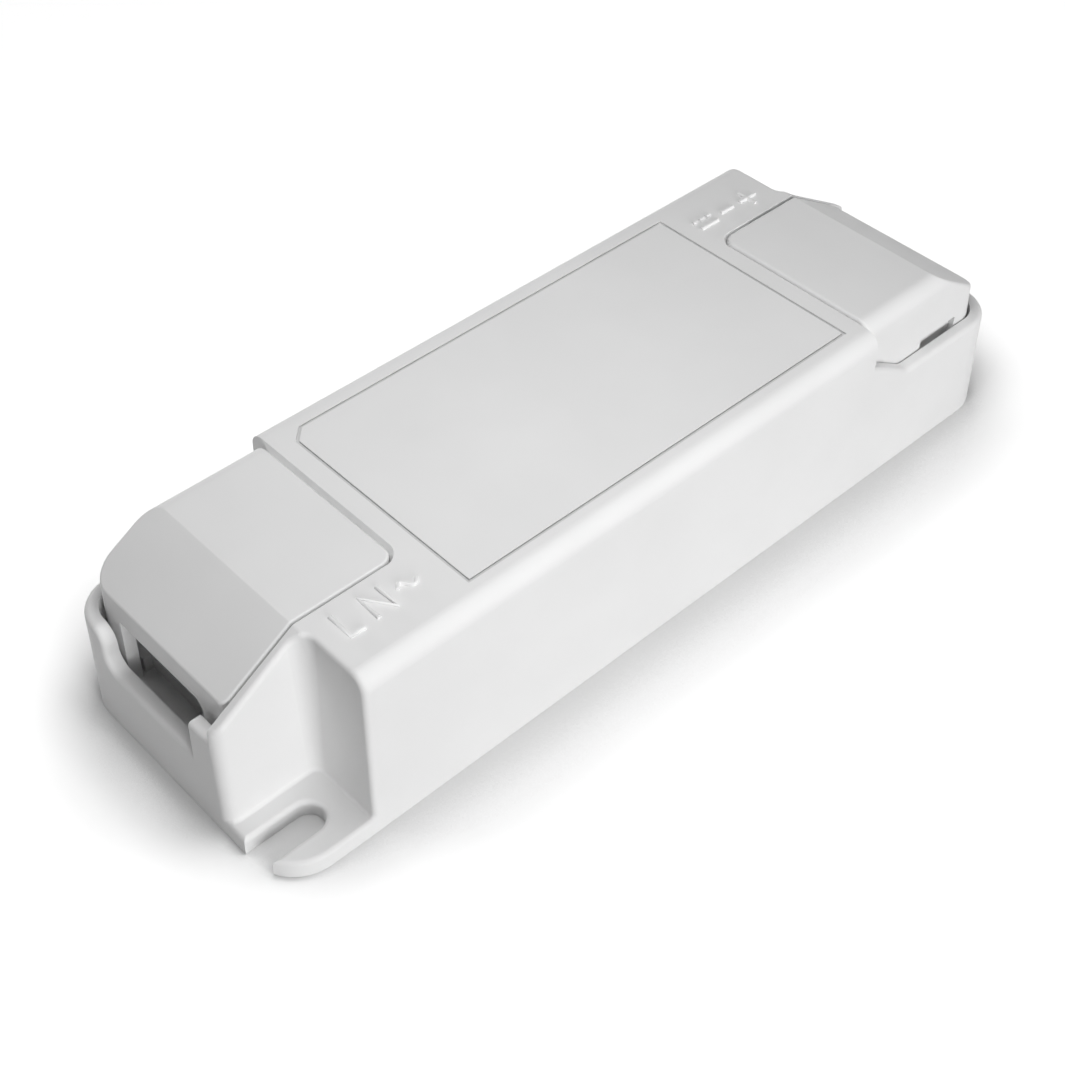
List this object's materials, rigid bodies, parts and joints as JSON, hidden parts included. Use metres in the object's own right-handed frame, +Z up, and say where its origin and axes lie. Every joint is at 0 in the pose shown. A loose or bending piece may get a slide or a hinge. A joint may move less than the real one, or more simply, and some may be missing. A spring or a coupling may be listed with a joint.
{
  "type": "led driver",
  "caption": "Slim plastic LED driver with clip-on terminal covers, sloping ends, cable windows and slotted fixing ears at two opposite corners.",
  "frame": {"origin": "middle of the underside", "axes": "+X along the length towards the output end, +Z up out of the top, +Y across"},
  "size_m": [0.1274, 0.042, 0.0252],
  "materials": {
    "housing_plastic": "satin",
    "cover_plastic": "satin",
    "plate_plastic": "satin",
    "screw_steel": "zinc plated",
    "film": "satin",
    "board": "satin",
    "clamp_plastic": "satin",
    "terminal_plastic": "moulded",
    "cage_brass": "bright",
    "fuse_sleeve": "shrink sleeve",
    "varistor_coat": "dipped",
    "capacitor_box": "moulded",
    "ferrite": "sintered",
    "copper_wire": "enamelled",
    "chip_black": "moulded",
    "can_sleeve": "shrink sleeve",
    "bobbin_plastic": "moulded",
    "winding_tape": "tape",
    "resistor_coat": "lacquered",
    "disc_coat": "dipped",
    "output_can_sleeve": "shrink sleeve",
    "inductor_sleeve": "sintered"
  },
  "bodies": {
    "root": {"housing": "housing_plastic", "input_cover": "cover_plastic", "output_cover": "cover_plastic", "bottom_plate": "plate_plastic", "bottom_screws": "screw_steel", "insulating_sheet": "film", "circuit_board": "board", "input_cable_clamp": "clamp_plastic", "output_cable_clamp": "clamp_plastic", "clamp_screws": "screw_steel", "input_terminal_block": "terminal_plastic", "output_terminal_block": "terminal_plastic", "input_terminal_cages": "cage_brass", "output_terminal_cages": "cage_brass", "terminal_screws": "screw_steel", "fuse": "fuse_sleeve", "varistor": "varistor_coat", "mains_filter_capacitor": "capacitor_box", "filter_choke_core": "ferrite", "filter_choke_windings": "copper_wire", "bridge_rectifier": "chip_black", "bulk_capacitor": "can_sleeve", "transformer_core": "ferrite", "transformer_bobbin": "bobbin_plastic", "transformer_windings": "winding_tape", "switching_transistor": "chip_black", "controller_chip": "chip_black", "snubber_resistors": "resistor_coat", "safety_capacitor": "disc_coat", "output_diode": "chip_black", "output_capacitors": "output_can_sleeve", "output_inductor": "inductor_sleeve", "optocoupler": "chip_black"}
  },
  "joints": []
}
